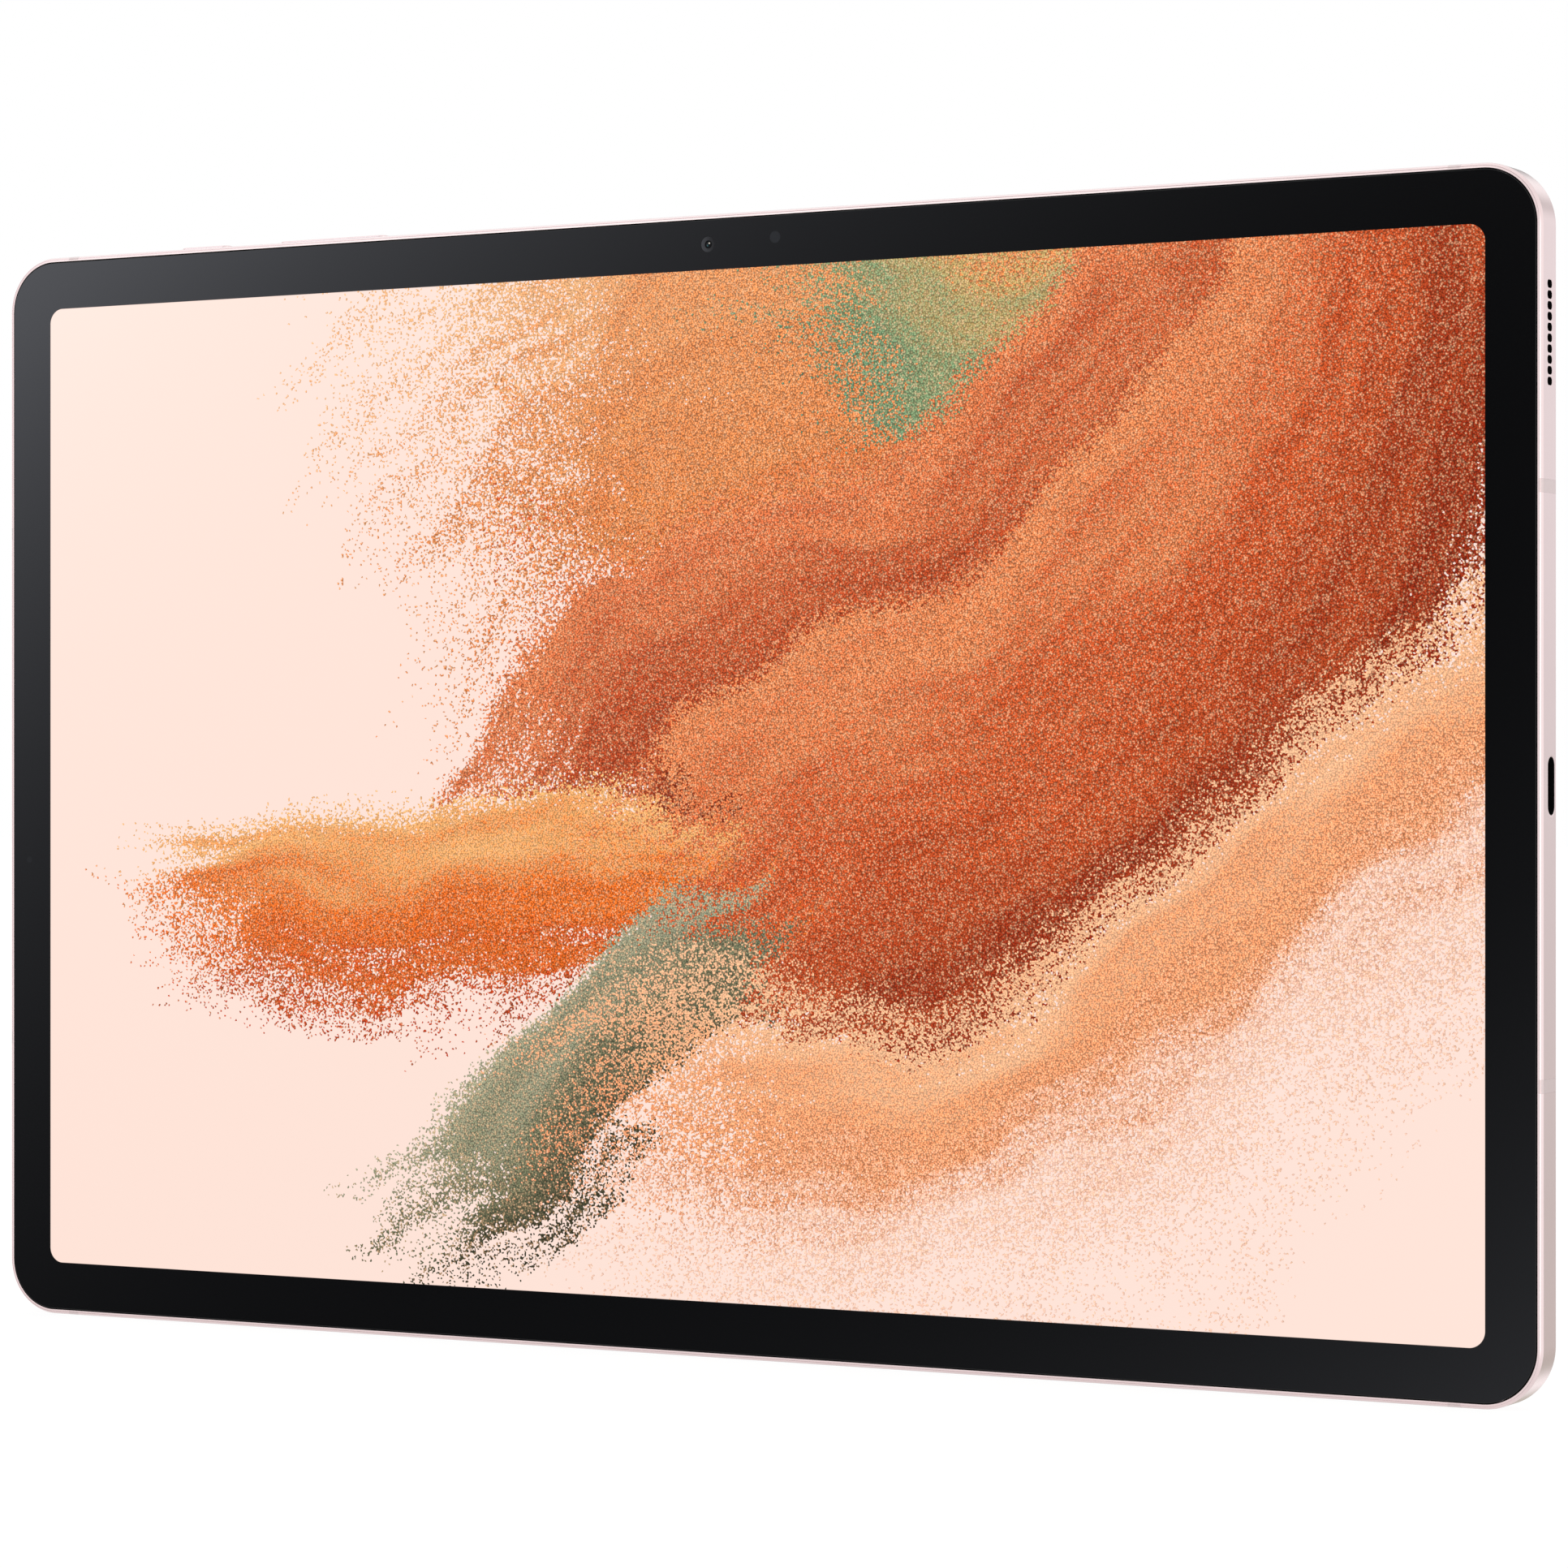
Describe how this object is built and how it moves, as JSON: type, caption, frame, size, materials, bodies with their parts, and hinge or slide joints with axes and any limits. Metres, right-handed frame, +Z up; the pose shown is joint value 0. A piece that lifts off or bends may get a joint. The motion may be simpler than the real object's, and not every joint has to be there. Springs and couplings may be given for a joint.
{
  "type": "tablet computer",
  "caption": "Slim rectangular touchscreen tablet computer with a metal rear housing, edge keys, side port, speaker slots and cameras.",
  "frame": {"origin": "middle of the long bottom edge that it stands on, centred on its width and depth", "axes": "+X along the long side, to the right as the screen is seen; -Y out of the screen; +Z up"},
  "size_m": [0.285, 0.0072, 0.1855],
  "materials": {
    "pink_aluminium": "fine bead-blasted, satin, pale pink anodised",
    "pink_plastic": "satin, pink, slightly greyer than the metal",
    "cover_glass": "gloss, black printed border",
    "display_cell": "gloss",
    "light_guide": "satin white",
    "polyimide_film": "satin amber film",
    "bright_steel": "satin",
    "circuit_board": "solder mask",
    "black_plastic": "matte",
    "black_mesh": "fine woven mesh, matte",
    "adhesive_tape": "matte foam tape",
    "gold_contact": "polished",
    "battery_pouch": "satin pouch",
    "silicon_package": "satin moulded package",
    "lens_glass": "coated, gloss"
  },
  "bodies": {
    "tablet": {"rear_housing": "pink_aluminium", "rear_camera_ring": "pink_aluminium", "antenna_band_top_right": "pink_plastic", "antenna_band_top_left": "pink_plastic", "antenna_band_bottom_left": "pink_plastic", "antenna_band_bottom_right": "pink_plastic", "cover_glass": "cover_glass", "lcd_panel": "display_cell", "backlight_unit": "light_guide", "digitizer_sheet": "polyimide_film", "display_flex": "polyimide_film", "board_flex": "polyimide_film", "key_flex": "polyimide_film", "support_plate": "bright_steel", "processor_shield": "bright_steel", "memory_shield": "bright_steel", "usb_c_shell": "bright_steel", "card_reader": "bright_steel", "microphone_1": "bright_steel", "microphone_2": "bright_steel", "key_bracket": "bright_steel", "power_switch": "bright_steel", "volume_up_switch": "bright_steel", "volume_down_switch": "bright_steel", "stylus_magnet_1": "bright_steel", "stylus_magnet_2": "bright_steel", "board_screw_1": "bright_steel", "board_screw_2": "bright_steel", "board_screw_3": "bright_steel", "board_screw_4": "bright_steel", "board_screw_5": "bright_steel", "main_board": "circuit_board", "charging_board": "circuit_board", "battery_board": "circuit_board", "speaker_left": "black_plastic", "speaker_right": "black_plastic", "front_camera": "black_plastic", "rear_camera_module": "black_plastic", "dock_connector": "black_plastic", "usb_c_tongue": "black_plastic", "speaker_mesh_left": "black_mesh", "speaker_mesh_right": "black_mesh", "glass_adhesive": "adhesive_tape", "dock_contact_1": "gold_contact", "dock_contact_2": "gold_contact", "dock_contact_3": "gold_contact", "dock_contact_4": "gold_contact", "battery_cell_left": "battery_pouch", "battery_cell_right": "battery_pouch", "processor": "silicon_package", "memory_chip": "silicon_package", "light_sensor": "silicon_package", "side_sensor": "silicon_package", "front_camera_lens": "lens_glass", "rear_camera_glass": "lens_glass"},
    "power_key": {"power_button": "pink_aluminium"},
    "volume_key": {"volume_rocker": "pink_aluminium"},
    "tray": {"card_tray": "pink_aluminium"}
  },
  "joints": [
    {"name": "power_press", "type": "slide", "parent": "tablet", "child": "power_key", "axis": [0, 0, -1], "range_m": [0, 0.00025], "stiffness_N_per_m": 1500},
    {"name": "volume_rock", "type": "hinge", "parent": "tablet", "child": "volume_key", "pos_m": [-0.0755, -0.0002, 0.1813], "axis": [0, 1, 0], "range_deg": [-1.2, 1.2], "stiffness_Nm_per_rad": 0.6},
    {"name": "tray_slide", "type": "slide", "parent": "tablet", "child": "tray", "axis": [0, 0, 1], "range_m": [0, 0.02]}
  ]
}
